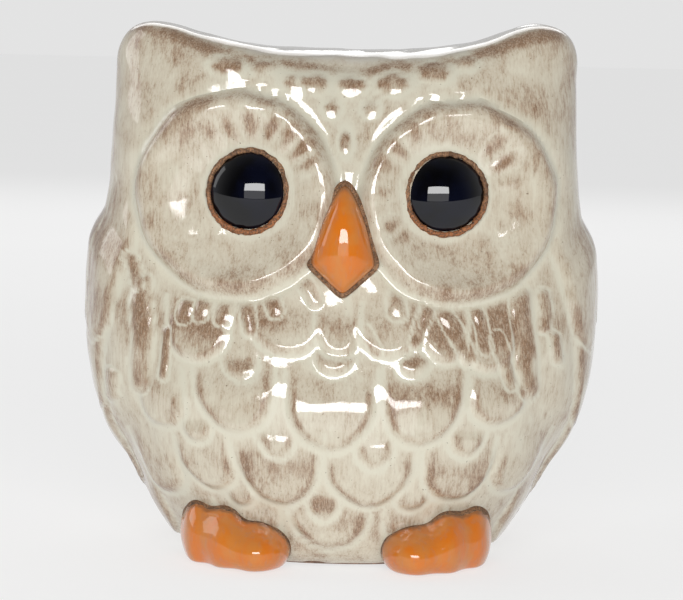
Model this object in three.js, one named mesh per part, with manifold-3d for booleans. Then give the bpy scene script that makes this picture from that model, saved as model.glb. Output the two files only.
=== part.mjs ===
import * as THREE from "three";
import { mergeVertices } from "three/addons/utils/BufferGeometryUtils.js";
import Module from "manifold-3d";

// An owl money box: a hollow slip-cast earthenware shell with applied eyes, beak and feet, a coin
// slot across the back of the head, and a rubber stopper in the base. Millimetres, +Z up. The owl
// faces -Y, so its own left is +X. The origin is on the table, under the middle of the owl.

// Overall sizes of the owl
const HEIGHT = 155; // table to ear tips
const WIDTH = 150; // across the folded wings
const DEPTH = 130; // beak and toes to the back

// Casting
const WALL = 5;
const EDGE_ROUND = 14; // softness of the edge where the face and sides turn into the crown
const BASE_ROUND = 7;
const LUTING_GAP = 0.3; // between the shell and each applied piece

// Face
const DISC_RADIUS = 30; // feather disc round each eye
const DISC_CREST = 2.5; // ridge of the disc, proud of the face
const DISC_DISH = 3.5; // hollow of the disc, under the face
const DISC_TURN = THREE.MathUtils.degToRad(17); // how far each disc looks outwards
const EYE_RADIUS = 11;
const EYE_PROUD = 5;
const EYE_INWARD = 3.2; // from the middle of the disc towards the beak
const EYE_UP = -0.6; // from the middle of the disc, before the slope of the face lifts its outline
const BEAK_LENGTH = 35;
const BEAK_WIDTH = 20;
const BEAK_PROUD = 8.8;

// Wings and feet
const WING_RAISE = 2;
const FOOT_WIDTH = 31;
const FOOT_HEIGHT = 21;
const FOOT_REACH = 18; // how far the toes stand out from the edge of the base
const HEEL_INSET = 2; // how far their middles lie inside that edge

// Coin slot
const SLOT_LENGTH = 38;
const SLOT_WIDTH = 5;
const SLOT_HEIGHT = 119; // of its middle, above the table

// Base and stopper
const RECESS_RADIUS = 29;
const RECESS_DEPTH = 4;
const HOLE_RADIUS = 19;
const STOPPER_GAP = 0.3;
const FLANGE_OVERLAP = 4;
const FLANGE_THICKNESS = 2;
const NECK_TAPER = 1.2;
const LEAD_IN = 1.5; // how far the neck stands up past the inside of the base
const RUBBER_WALL = 2.5;
const GRIP_WIDTH = 4;

// Shares of HEIGHT, WIDTH and DEPTH that give the owl its outline
const halfWidth = profile([
  [0, 0.605],
  [0.06, 0.69],
  [0.13, 0.78],
  [0.23, 0.885],
  [0.35, 0.955],
  [0.47, 0.968],
  [0.6, 0.955],
  [0.7, 0.93],
  [0.85, 0.915],
  [1, 0.9],
]);
const frontDepth = profile([
  [0, 0.75],
  [0.06, 0.83],
  [0.14, 0.9],
  [0.25, 0.945],
  [0.29, 0.943],
  [0.33, 0.929],
  [0.38, 0.893],
  [0.48, 0.827],
  [0.54, 0.788],
  [0.6, 0.775],
  [0.72, 0.742],
  [0.8, 0.695],
  [0.87, 0.64],
  [1, 0.51],
]);
const backDepth = profile([
  [0, 0.71],
  [0.06, 0.8],
  [0.14, 0.885],
  [0.25, 0.95],
  [0.4, 0.998],
  [0.5, 0.993],
  [0.62, 0.955],
  [0.75, 0.87],
  [0.88, 0.72],
  [1, 0.52],
]);
const squareness = profile([
  [0, 2.4],
  [0.5, 2.3],
  [0.75, 2.7],
  [1, 3],
]);
// Crown, by share of the half width from the middle to the side
const crownHeight = profile([
  [0, 0.953],
  [0.3, 0.957],
  [0.55, 0.978],
  [0.78, 1.022],
  [0.88, 1.032],
  [1, 1.01],
]);
const crownRidge = profile([
  [0, -0.1],
  [0.5, -0.16],
  [0.9, -0.34],
]);
const crownRadius = profile([
  [0, 1],
  [0.4, 0.85],
  [0.9, 0.38],
]);
const CROWN_FORWARD = 2.4; // how much flatter the crown is in front of its ridge than behind it
const BROW_SHARPNESS = 0.5; // how much tighter the edge is over the face than at the sides

// Places, as shares of HEIGHT or of half the WIDTH
const CORE = 0.48; // height of the point that every surface point is found from
const FACE_HEIGHT = 0.69; // middle of the discs
const DISC_APART = 0.41; // middle of each disc from the middle of the face
const BEAK_TOP = 0.715;
const FOOT_APART = 0.385;
// The wing's middle and half its reach: round the body in radians, and up it by HEIGHT
const WING_MIDDLE = { turn: 0.15, level: 0.4 };
const WING_REACH = { turn: 0.87, level: 0.26 };

// From the middle of a disc to its edge, by DISC_RADIUS
const discProfile = profile([
  [0, -DISC_DISH],
  [0.4, -0.55 * DISC_DISH],
  [0.8, DISC_CREST],
  [1.05, 0],
]);
// Width and thickness of the beak from its tip to its top, as shares of a round bead's
const beakWidth = profile([
  [0, 0.75],
  [0.3, 1.1],
  [0.65, 0.8],
  [1, 0.45],
]);
const beakDepth = profile([
  [0, 0.6],
  [0.35, 1.05],
  [1, 0.6],
]);
// Toes from the inside of the foot to the outside: the middle and width of each by the foot's
// width, and its height by the foot's height
const TOES = [
  { middle: -0.18, width: 0.64, height: 0.76 },
  { middle: 0.06, width: 0.58, height: 0.95 },
  { middle: 0.25, width: 0.5, height: 1 },
];
const TOE_BELLY = 0.3; // where a toe is fullest, by its height

// Fineness of the surfaces
const SKIN_GRID = [30, 12, 30];
const CAVITY_GRID = [14, 10, 14];
const BISECTIONS = 40;
const ROUND_STEPS = 48; // sides of the stopper and its hole

const wasm = await Module();
wasm.setup();

// A smooth curve through [place, value] knots, level beyond its ends.
function profile(knots) {
  const slope = knots.map((knot, i) => {
    const before = knots[Math.max(i - 1, 0)];
    const after = knots[Math.min(i + 1, knots.length - 1)];
    return (after[1] - before[1]) / (after[0] - before[0]);
  });
  return (place) => {
    const last = knots.length - 1;
    if (place <= knots[0][0]) return knots[0][1];
    if (place >= knots[last][0]) return knots[last][1];
    const i = knots.findIndex((knot) => knot[0] > place) - 1;
    const span = knots[i + 1][0] - knots[i][0];
    const t = (place - knots[i][0]) / span;
    return (
      knots[i][1] * (1 + 2 * t) * (1 - t) ** 2 +
      knots[i + 1][1] * (3 - 2 * t) * t ** 2 +
      slope[i] * span * t * (1 - t) ** 2 +
      slope[i + 1] * span * (t - 1) * t ** 2
    );
  };
}

// The larger of two distances, with a soft corner of the given size.
function softMax(a, b, softness) {
  const overlap = Math.max(softness - Math.abs(a - b), 0) / softness;
  return Math.max(a, b) + (overlap ** 2 * softness) / 4;
}

function discFrame(side) {
  const middle = new THREE.Vector3((side * DISC_APART * WIDTH) / 2, 0, FACE_HEIGHT * HEIGHT);
  const axis = new THREE.Vector3(side * Math.sin(DISC_TURN), -Math.cos(DISC_TURN), 0);
  middle.y = (-frontDepth(FACE_HEIGHT) * DEPTH) / 2;
  return { middle, axis };
}

const discs = { 1: discFrame(1), [-1]: discFrame(-1) };

// How far the disc stands proud of the face at a point: a dish, and the crest round it.
function discRelief(point) {
  if (point.y > 0) return 0;
  const { middle, axis } = discs[point.x < 0 ? -1 : 1];
  const from = point.clone().sub(middle);
  const share = from.addScaledVector(axis, -from.dot(axis)).length() / DISC_RADIUS;
  return discProfile(share);
}

// The folded wing is a low, soft-edged swelling on each side.
function wingRelief(point) {
  const turn = (Math.atan2(point.y, Math.abs(point.x)) - WING_MIDDLE.turn) / WING_REACH.turn;
  const level = (point.z / HEIGHT - WING_MIDDLE.level) / WING_REACH.level;
  return WING_RAISE * (1 - THREE.MathUtils.smoothstep(turn ** 2 + level ** 2, 0.5, 1));
}

// Distance outside the owl's skin in millimetres, negative inside it. The floor may be raised.
function skinDistance(point, floor) {
  const level = point.z / HEIGHT;
  const across = (halfWidth(level) * WIDTH) / 2;
  const deep = ((point.y < 0 ? frontDepth : backDepth)(level) * DEPTH) / 2;
  const power = squareness(level);
  const ring = Math.abs(point.x / across) ** power + Math.abs(point.y / deep) ** power;
  const side = (ring ** (1 / power) - 1) * Math.min(across, deep);

  const sideways = Math.abs(point.x) / (WIDTH / 2);
  const fromRidge = point.y - (crownRidge(sideways) * DEPTH) / 2;
  const flatness = (fromRidge < 0 ? CROWN_FORWARD : 1) * DEPTH;
  const drop = fromRidge ** 2 / (crownRadius(sideways) * flatness);
  const top = point.z - crownHeight(sideways) * HEIGHT + drop;

  const overFace = THREE.MathUtils.smoothstep(-point.y / deep, 0.45, 0.85);
  const body = softMax(side, top, EDGE_ROUND * (1 - BROW_SHARPNESS * overFace));
  return softMax(body, floor - point.z, BASE_ROUND) - discRelief(point) - wingRelief(point);
}

// The point of the skin, moved out by `grow`, that lies in a direction from the core.
function skinPoint(direction, grow, floor) {
  const core = new THREE.Vector3(0, 0, CORE * HEIGHT);
  const point = new THREE.Vector3();
  let near = 0;
  let far = HEIGHT + WIDTH;
  for (let i = 0; i < BISECTIONS; i++) {
    const middle = (near + far) / 2;
    point.copy(core).addScaledVector(direction, middle);
    if (skinDistance(point, floor) > grow) far = middle;
    else near = middle;
  }
  return point;
}

// Where a line along Y through x and z meets the front of the skin.
function frontPoint(x, z) {
  let near = 0;
  let far = DEPTH;
  for (let i = 0; i < BISECTIONS; i++) {
    const middle = (near + far) / 2;
    if (skinDistance(new THREE.Vector3(x, -middle, z), 0) > 0) far = middle;
    else near = middle;
  }
  return new THREE.Vector3(x, -near, z);
}

function solid(geometry) {
  const bare = geometry.clone();
  bare.deleteAttribute("normal");
  bare.deleteAttribute("uv");
  const merged = mergeVertices(bare, 1e-4);
  return new wasm.Manifold(
    new wasm.Mesh({
      numProp: 3,
      vertProperties: new Float32Array(merged.attributes.position.array),
      triVerts: new Uint32Array(merged.index.array),
    }),
  );
}

function geometryOf(manifold) {
  const mesh = manifold.getMesh();
  const geometry = new THREE.BufferGeometry();
  geometry.setAttribute("position", new THREE.BufferAttribute(mesh.vertProperties, 3));
  geometry.setIndex(new THREE.BufferAttribute(mesh.triVerts, 1));
  geometry.computeVertexNormals();
  return geometry;
}

// Moves every vertex of a geometry.
function reshape(geometry, move) {
  const position = geometry.attributes.position;
  for (let i = 0; i < position.count; i++) {
    const point = new THREE.Vector3().fromBufferAttribute(position, i);
    position.setXYZ(i, ...move(point).toArray());
  }
  return geometry;
}

// The owl's form, made from a box whose grid is pushed out to the skin.
function owlForm(grow, floor, segments) {
  const box = new THREE.BoxGeometry(WIDTH, DEPTH, HEIGHT, ...segments);
  return solid(reshape(box, (point) => skinPoint(point.normalize(), grow, floor)));
}

const skin = owlForm(0, 0, SKIN_GRID);
const skinAndGap = owlForm(LUTING_GAP, 0, SKIN_GRID);

function stadium(length, width, depth) {
  const shape = new THREE.Shape();
  const half = (length - width) / 2;
  shape.absarc(half, 0, width / 2, -Math.PI / 2, Math.PI / 2);
  shape.absarc(-half, 0, width / 2, Math.PI / 2, (3 * Math.PI) / 2);
  return new THREE.ExtrudeGeometry(shape, { depth, bevelEnabled: false, curveSegments: 8 });
}

function upright(radius, low, high) {
  const cylinder = new THREE.CylinderGeometry(radius, radius, high - low, ROUND_STEPS);
  return cylinder.rotateX(Math.PI / 2).translate(0, 0, (low + high) / 2);
}

function bodyShell() {
  const baseTop = RECESS_DEPTH + WALL;
  const cavity = owlForm(-WALL, RECESS_DEPTH, CAVITY_GRID);
  const recess = solid(upright(RECESS_RADIUS, -1, RECESS_DEPTH));
  const hole = solid(upright(HOLE_RADIUS, -1, baseTop + WALL));
  const slot = stadium(SLOT_LENGTH, SLOT_WIDTH, DEPTH)
    .rotateX(-Math.PI / 2)
    .translate(0, 0, SLOT_HEIGHT);
  return skin.subtract(cavity).subtract(recess).subtract(hole).subtract(solid(slot));
}

function eye(side) {
  const { middle, axis } = discs[side];
  const seat = frontPoint(middle.x - side * EYE_INWARD, middle.z + EYE_UP);
  const dome = new THREE.SphereGeometry(1, 28, 14);
  dome.scale(EYE_RADIUS, EYE_PROUD, EYE_RADIUS);
  dome.rotateZ(Math.atan2(axis.x, -axis.y));
  dome.translate(...seat.toArray());
  return solid(dome).subtract(skinAndGap);
}

function beak() {
  const top = frontPoint(0, BEAK_TOP * HEIGHT);
  const tip = frontPoint(0, BEAK_TOP * HEIGHT - BEAK_LENGTH);
  const bead = new THREE.SphereGeometry(1, 24, 16).rotateX(Math.PI / 2);
  reshape(bead, (point) => {
    const share = (point.z + 1) / 2;
    const spine = tip.clone().lerp(top, share);
    spine.x += (point.x * beakWidth(share) * BEAK_WIDTH) / 2;
    spine.y += point.y * beakDepth(share) * BEAK_PROUD;
    return spine;
  });
  return solid(bead).subtract(skinAndGap);
}

function foot(side) {
  const toes = TOES.map(({ middle, width, height }) => {
    const x = (FOOT_APART * WIDTH) / 2 + middle * FOOT_WIDTH;
    const top = height * FOOT_HEIGHT;
    const toe = new THREE.SphereGeometry(1, 24, 16).rotateX(Math.PI / 2);
    toe.scale((width * FOOT_WIDTH) / 2, FOOT_REACH, (1 - TOE_BELLY) * top);
    toe.translate(side * x, frontPoint(x, BASE_ROUND).y + HEEL_INSET, TOE_BELLY * top);
    return solid(toe);
  });
  const whole = toes.reduce((joined, toe) => joined.add(toe));
  const above = solid(new THREE.BoxGeometry(WIDTH, 2 * DEPTH, HEIGHT).translate(0, 0, HEIGHT / 2));
  return whole.intersect(above).subtract(skinAndGap);
}

// A hollow bung: a flange under the base, a ribbed neck in the hole and a bar to pull it by.
function stopper() {
  const flangeTop = RECESS_DEPTH - STOPPER_GAP;
  const flangeBottom = flangeTop - FLANGE_THICKNESS;
  const neck = HOLE_RADIUS - STOPPER_GAP;
  const neckTop = RECESS_DEPTH + WALL + LEAD_IN;
  const recess = neck - NECK_TAPER - RUBBER_WALL;
  const recessTop = neckTop - RUBBER_WALL;
  const rib = (neckTop - flangeTop) / 4;
  const section = [
    [0, neckTop],
    [neck - NECK_TAPER, neckTop],
    [neck - NECK_TAPER / 2, neckTop - rib],
    [neck, flangeTop + 2 * rib],
    [neck - NECK_TAPER / 2, flangeTop + rib],
    [neck, flangeTop],
    [HOLE_RADIUS + FLANGE_OVERLAP, flangeTop],
    [HOLE_RADIUS + FLANGE_OVERLAP, flangeBottom],
    [recess, flangeBottom],
    [recess, recessTop],
    [0, recessTop],
  ].map(([radius, height]) => new THREE.Vector2(radius, height));
  const turned = new THREE.LatheGeometry(section.reverse(), ROUND_STEPS).rotateX(Math.PI / 2);
  const barHeight = recessTop - flangeBottom;
  const root = RUBBER_WALL / 2; // how deep the bar runs into the walls of the recess
  const bar = new THREE.BoxGeometry(2 * (recess + root), GRIP_WIDTH, barHeight + root);
  bar.translate(0, 0, flangeBottom + (barHeight + root) / 2);
  return solid(turned).add(solid(bar));
}

const cream = new THREE.MeshStandardMaterial({ color: "#d6d1bd", roughness: 0.15 });
const black = new THREE.MeshStandardMaterial({ color: "#0a0c14", roughness: 0.05 });
const orange = new THREE.MeshStandardMaterial({ color: "#cf7426", roughness: 0.12 });
const rubber = new THREE.MeshStandardMaterial({ color: "#262626", roughness: 0.8 });

const owl = new THREE.Group();

function place(name, manifold, material) {
  const mesh = new THREE.Mesh(geometryOf(manifold), material);
  mesh.name = name;
  owl.add(mesh);
}

place("body_shell", bodyShell(), cream);
place("left_eye", eye(1), black);
place("right_eye", eye(-1), black);
place("beak", beak(), orange);
place("left_foot", foot(1), orange);
place("right_foot", foot(-1), orange);
place("stopper", stopper(), rubber);

export default owl;
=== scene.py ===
"""A squat owl money box in glazed earthenware: its finished surfaces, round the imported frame.

Sizes are millimetres in the owl's own frame, +Z up, with the owl facing -Y, and MM turns them into
the frame's metres. Sides are the owl's own: its left is +X.
"""
import math

import bmesh
import bpy
import numpy as np
from mathutils import Matrix, Vector


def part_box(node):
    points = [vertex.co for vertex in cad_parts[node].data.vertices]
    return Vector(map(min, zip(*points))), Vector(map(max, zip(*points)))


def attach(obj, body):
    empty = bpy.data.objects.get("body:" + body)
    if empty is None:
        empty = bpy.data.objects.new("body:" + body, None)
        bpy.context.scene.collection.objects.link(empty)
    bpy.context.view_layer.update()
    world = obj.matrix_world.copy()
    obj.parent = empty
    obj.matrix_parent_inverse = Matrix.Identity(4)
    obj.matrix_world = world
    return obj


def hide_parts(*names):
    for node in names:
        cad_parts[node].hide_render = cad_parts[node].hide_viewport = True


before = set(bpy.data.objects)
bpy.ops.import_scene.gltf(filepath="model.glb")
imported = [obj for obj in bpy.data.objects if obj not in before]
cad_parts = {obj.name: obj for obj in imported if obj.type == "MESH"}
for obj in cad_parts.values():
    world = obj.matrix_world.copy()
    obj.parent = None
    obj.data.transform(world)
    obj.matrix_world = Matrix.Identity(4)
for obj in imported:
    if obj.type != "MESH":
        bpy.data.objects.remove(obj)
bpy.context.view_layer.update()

# One millimetre of the design, from the shell's ear tips, which stand this high in it
EAR_TIPS = 154.7
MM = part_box("body_shell")[1].z / EAR_TIPS

# The owl's overall sizes and the softness of its edges
HEIGHT = 155
WIDTH = 150
DEPTH = 130
EDGE_ROUND = 14
BASE_ROUND = 7
CORE = 0.48 * HEIGHT  # height of the point that the skin is found from
WING_MIDDLE = (0.15, 0.4)  # turn from the side, in radians, and level
WING_REACH = (0.87, 0.26)
WING_RAISE = 2
WALL = 5

# The slot, and the base with its stopper
SLOT_LENGTH = 38
SLOT_WIDTH = 5
SLOT_HEIGHT = 119
SLOT_LIP = 1.8  # radius of its rounded lip
LIP_BAND = 2.2
RECESS_RADIUS = 29
RECESS_DEPTH = 4
HOLE_RADIUS = 19

# Cells along X, Y and Z
SKIN_CELLS = (148, 70, 150)
CAVITY_CELLS = (22, 16, 22)
BISECTIONS = 34


# ---------------------------------------------------------------------------------- curves

def profile(knots):
    """A smooth curve through (place, value) knots, level beyond its ends."""
    place, value = (np.array(part, float) for part in zip(*knots))
    before = np.maximum(np.arange(len(place)) - 1, 0)
    after = np.minimum(np.arange(len(place)) + 1, len(place) - 1)
    slope = (value[after] - value[before]) / (place[after] - place[before])

    def curve(where):
        where = np.clip(np.asarray(where, float), place[0], place[-1])
        i = np.clip(np.searchsorted(place, where, side="right") - 1, 0, len(place) - 2)
        span = place[i + 1] - place[i]
        t = (where - place[i]) / span
        return (
            value[i] * (1 + 2 * t) * (1 - t) ** 2
            + value[i + 1] * (3 - 2 * t) * t ** 2
            + slope[i] * span * t * (1 - t) ** 2
            + slope[i + 1] * span * (t - 1) * t ** 2
        )

    return curve


def soft_max(a, b, softness):
    overlap = np.maximum(softness - np.abs(a - b), 0) / softness
    return np.maximum(a, b) + overlap ** 2 * softness / 4


def soft_min(a, b, softness):
    return -soft_max(-a, -b, softness)


def smooth_step(value, low, high):
    t = np.clip((value - low) / (high - low), 0, 1)
    return t * t * (3 - 2 * t)


def bell(value, width):
    return np.exp(-(value / width) ** 2)


# Shares of half the WIDTH and half the DEPTH, by share of the HEIGHT
half_width = profile([
    (0, 0.605), (0.06, 0.69), (0.13, 0.78), (0.23, 0.885), (0.35, 0.955),
    (0.47, 0.968), (0.6, 0.955), (0.7, 0.93), (0.85, 0.915), (1, 0.9),
])
front_depth = profile([
    (0, 0.75), (0.06, 0.83), (0.14, 0.9), (0.25, 0.945), (0.29, 0.943), (0.33, 0.929), (0.38, 0.893),
    (0.48, 0.827), (0.54, 0.788), (0.6, 0.775), (0.72, 0.742), (0.8, 0.695), (0.87, 0.64), (1, 0.51),
])
back_depth = profile([
    (0, 0.71), (0.06, 0.8), (0.14, 0.885), (0.25, 0.95), (0.4, 0.998),
    (0.5, 0.993), (0.62, 0.955), (0.75, 0.87), (0.88, 0.72), (1, 0.52),
])
squareness = profile([(0, 2.4), (0.5, 2.3), (0.75, 2.7), (1, 3)])
# The crown, by share of the half width from the middle to the side
crown_height = profile([
    (0, 0.953), (0.3, 0.957), (0.55, 0.978), (0.78, 1.022), (0.88, 1.032), (1, 1.01),
])
crown_ridge = profile([(0, -0.1), (0.5, -0.16), (0.9, -0.34)])
crown_radius = profile([(0, 1), (0.4, 0.85), (0.9, 0.38)])
CROWN_FORWARD = 2.4  # how much flatter the crown is in front of its ridge than behind it
BROW_SHARPNESS = 0.5  # how much tighter the edge is over the face than at the sides


# ---------------------------------------------------------------------------- the owl's form

def skin_distance(x, y, z, floor=0):
    """Distance outside the owl's plain form, negative inside it. The floor may be raised."""
    level = z / HEIGHT
    across = half_width(level) * WIDTH / 2
    deep = np.where(y < 0, front_depth(level), back_depth(level)) * DEPTH / 2
    power = squareness(level)
    ring = np.abs(x / across) ** power + np.abs(y / deep) ** power
    side = (ring ** (1 / power) - 1) * np.minimum(across, deep)

    sideways = np.abs(x) / (WIDTH / 2)
    from_ridge = y - crown_ridge(sideways) * DEPTH / 2
    flatness = np.where(from_ridge < 0, CROWN_FORWARD, 1) * DEPTH
    top = z - crown_height(sideways) * HEIGHT + from_ridge ** 2 / (crown_radius(sideways) * flatness)
    edge = EDGE_ROUND * (1 - BROW_SHARPNESS * smooth_step(-y / deep, 0.45, 0.85))

    turn = (np.arctan2(y, np.abs(x)) - WING_MIDDLE[0]) / WING_REACH[0]
    rise = (level - WING_MIDDLE[1]) / WING_REACH[1]
    wing = WING_RAISE * (1 - smooth_step(turn ** 2 + rise ** 2, 0.5, 1))
    return soft_max(soft_max(side, top, edge), floor - z, BASE_ROUND) - wing


def reach(distance, start, direction, far):
    """How far along each direction the distance turns positive."""
    near = np.zeros(len(direction))
    far = np.full(len(direction), float(far))
    for _ in range(BISECTIONS):
        middle = (near + far) / 2
        outside = distance(*(start + direction * middle[:, None]).T) > 0
        far = np.where(outside, middle, far)
        near = np.where(outside, near, middle)
    return near


def front_of(x, z):
    """Where lines along Y through x and z meet the front of the plain form."""
    x, z = np.broadcast_arrays(np.asarray(x, float), np.asarray(z, float))
    start = np.stack([x.ravel(), np.zeros(x.size), z.ravel()], axis=1)
    forward = np.tile([0.0, -1.0, 0.0], (x.size, 1))
    return -reach(skin_distance, start, forward, DEPTH).reshape(x.shape)


def turn_of(x, z):
    """How far round the body the front's point at x and z lies, in radians from its middle."""
    power = squareness(z / HEIGHT)
    share = np.clip(abs(x) / (half_width(z / HEIGHT) * WIDTH / 2), 0, 0.999)
    return math.copysign(math.atan2(share, (1 - share ** power) ** (1 / power)), x)


# ------------------------------------------------------------------------------ mesh helpers

def mesh_points(mesh):
    points = np.empty(len(mesh.vertices) * 3)
    mesh.vertices.foreach_get("co", points)
    return points.reshape(-1, 3)


def set_points(mesh, points):
    mesh.vertices.foreach_set("co", np.asarray(points, float).ravel())
    mesh.update()


def mesh_normals(mesh):
    normals = np.empty(len(mesh.vertices) * 3)
    mesh.vertex_normals.foreach_get("vector", normals)
    return normals.reshape(-1, 3)


def set_attribute(mesh, name, values):
    layer = mesh.attributes.get(name) or mesh.attributes.new(name, "FLOAT", "POINT")
    layer.data.foreach_set("value", np.asarray(values, np.float32))


def shape_points(shape):
    return np.array([v.co for v in shape.verts])


def move_points(shape, points):
    for vert, point in zip(shape.verts, points):
        vert.co = point


def face_outwards(shape):
    """Turns every face outwards, judged from where the vertices are now."""
    shape.normal_update()
    bmesh.ops.recalc_face_normals(shape, faces=shape.faces)


def to_frame(shape):
    """Scales a bmesh from the design's millimetres to the frame's metres."""
    bmesh.ops.transform(shape, matrix=Matrix.Scale(MM, 4), verts=shape.verts)


def finish_mesh(shape, name):
    """The bmesh as a new mesh."""
    mesh = bpy.data.meshes.new(name)
    shape.to_mesh(mesh)
    shape.free()
    return mesh


def show(mesh, name, material, body, sharp=40):
    """A new smooth-shaded piece that rides on a body and takes its finish from a slot."""
    mesh.polygons.foreach_set("use_smooth", np.ones(len(mesh.polygons), bool))
    mesh.set_sharp_from_angle(angle=math.radians(sharp))
    mesh.materials.clear()
    mesh.materials.append(material)
    piece = bpy.data.objects.new(name, mesh)
    bpy.context.scene.collection.objects.link(piece)
    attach(piece, body)
    return piece


def even_box(cells):
    """A cube from -1 to 1, cut into even cells."""
    shape = bmesh.new()
    bmesh.ops.create_cube(shape, size=2)
    for axis, count in enumerate(cells):
        along = [e for e in shape.edges if abs(e.verts[0].co[axis] - e.verts[1].co[axis]) > 1]
        bmesh.ops.subdivide_edges(shape, edges=along, cuts=count - 1, use_grid_fill=True)
    return shape


def owl_directions(points):
    """Directions from the core for the points of an even box, which has the owl's proportions."""
    even = (points + np.tan(points * math.pi / 4)) / 2
    direction = even * (WIDTH / 2, DEPTH / 2, HEIGHT / 2)
    return direction / np.linalg.norm(direction, axis=1)[:, None]


def push_to_skin(points, grow=0, floor=0):
    """The points of the skin, moved out by grow, for the points of an even box."""
    start = np.array([0, 0, CORE])
    direction = owl_directions(points)

    def distance(x, y, z):
        return skin_distance(x, y, z, floor) - grow

    return start + direction * reach(distance, start, direction, HEIGHT)[:, None]


def ripple(points, size, seed):
    """A gentle unevenness from -1 to 1, whose waves are about the given size."""
    chance = np.random.default_rng(seed)
    total = np.zeros(len(points))
    waves = 9
    for _ in range(waves):
        direction = chance.normal(size=3)
        direction *= 2 * math.pi / size / np.linalg.norm(direction)
        total += np.sin(points @ direction + chance.uniform(0, 2 * math.pi))
    return total / math.sqrt(waves) / 1.5


# ------------------------------------------------------------------------- relief of the skin

class Relief:
    """How high the skin stands, how bare its glaze has worn and how thick it has pooled."""

    def __init__(self, points):
        self.front = points[:, 1] < 0
        by_hand = np.where(self.front, 0.45, 1.1)  # how far the shapes stray from their true outlines
        strays = np.stack([ripple(points, 13, seed) for seed in (21, 22, 23)], axis=1)
        self.x, self.y, self.z = (points + by_hand[:, None] * strays).T
        level = self.z / HEIGHT
        deep = np.where(self.y < 0, front_depth(level), back_depth(level)) * DEPTH / 2
        self.turn = np.arctan2(self.x / (half_width(level) * WIDTH / 2), -self.y / deep)
        self.height = np.zeros(len(points))
        self.worn = np.zeros(len(points))
        self.ground = np.zeros(len(points))
        self.pool = np.zeros(len(points))

    def lay(self, place, inside, height, worn, groove=1.4):
        """Lays a raised shape over what is there. Place picks the points that it can touch."""
        over = height > self.height[place]
        self.height[place] = np.where(over, height, self.height[place])
        self.worn[place] = np.where(over, worn, self.worn[place])
        gap = bell(inside + groove * 0.55, groove * 0.6) * (inside < groove)
        self.worn[place] *= 1 - 0.55 * gap * ~over
        pool = np.where(over, 0.35 * self.pool[place], self.pool[place])
        self.pool[place] = np.maximum(pool, gap * (inside < 0.3))

    def feather(self, turn, half_turn, half, bottom, top, rise, rim, veil, groove=1.4, sweep=0.0):
        """A U-shaped feather that hangs down over the ones below it, its tip swept round by sweep."""
        centre = turn + sweep * np.clip((top - self.z) / (top - bottom), 0, 1.2)
        away = np.angle(np.exp(1j * (self.turn - centre))) / half_turn
        place = np.flatnonzero((np.abs(away) < 1.35) & (self.z > bottom - 3) & (self.z < top + 1))
        across = away[place]
        z = self.z[place]
        bend = min(half * 1.1, (top - bottom) * 0.8)
        below = np.maximum(bottom + bend - z, 0) / bend
        radius = np.sqrt(across ** 2 + below ** 2) + 1e-6
        scale = (across ** 2 * half + below ** 2 * bend) / radius ** 2
        inside = (1 - radius) * scale
        share = np.clip((z - bottom) / (top - bottom), 0, 1)
        under = smooth_step(top - z, 0, 0.5 * (top - bottom))
        edge = smooth_step(inside, -0.4, 2.4)
        pillow = np.sqrt(1 - (1 - np.clip(inside / (0.9 * half), 0, 1)) ** 2)
        height = rise * (0.25 + 0.75 * (1 - share ** 2)) * (0.55 * edge + 0.45 * pillow)
        height += 0.3 * bell(inside - 1.7, 1) * (1 - share)
        line = bell(inside - 1.7, 0.9) * (0.35 + 0.65 * smooth_step(np.abs(across), 0.1, 0.8))
        upper = smooth_step(share, 0.25, 0.6) * smooth_step(inside, 0.5, 3)
        worn = 0.75 * rim * line + veil * (0.5 * smooth_step(inside, 0.5, 4) + upper)
        self.lay(place, inside, height * under, worn * (0.3 + 0.7 * under), groove)

    def drop(self, start, end, radius, rise, worn):
        """A long raised drop on the front, from one (x, z) place to another."""
        start, end = np.array(start, float), np.array(end, float)
        place = np.flatnonzero(
            self.front
            & (np.abs(self.x - (start[0] + end[0]) / 2) < radius * 2 + abs(start[0] - end[0]) + 2)
            & (np.abs(self.z - (start[1] + end[1]) / 2) < radius * 2 + abs(start[1] - end[1]) + 2)
        )
        at = np.stack([self.x[place], self.z[place]], axis=1)
        along = end - start
        share = np.clip((at - start) @ along / max(along @ along, 1e-6), 0, 1)
        inside = radius - np.linalg.norm(at - start - share[:, None] * along, axis=1)
        dome = np.clip(inside / radius, 0, 1)
        height = rise * (1 - (1 - dome) ** 2) ** 0.8
        self.lay(place, inside, height, worn * smooth_step(inside, -0.4, radius), 0.7)

    def oval(self, middle, half, rise, worn, tilt=0.0):
        """A raised oval on the front."""
        place = np.flatnonzero(
            self.front & (np.hypot(self.x - middle[0], self.z - middle[1]) < max(half) + 3)
        )
        dx, dz = self.x[place] - middle[0], self.z[place] - middle[1]
        turned = dx * math.cos(tilt) + dz * math.sin(tilt), dz * math.cos(tilt) - dx * math.sin(tilt)
        radius = np.hypot(turned[0] / half[0], turned[1] / half[1])
        inside = (1 - radius) * min(half)
        height = rise * np.clip(1 - radius ** 2, 0, 1) ** 0.8
        self.lay(place, inside, height, worn * smooth_step(inside, 0, 1), 1.1)


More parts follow.
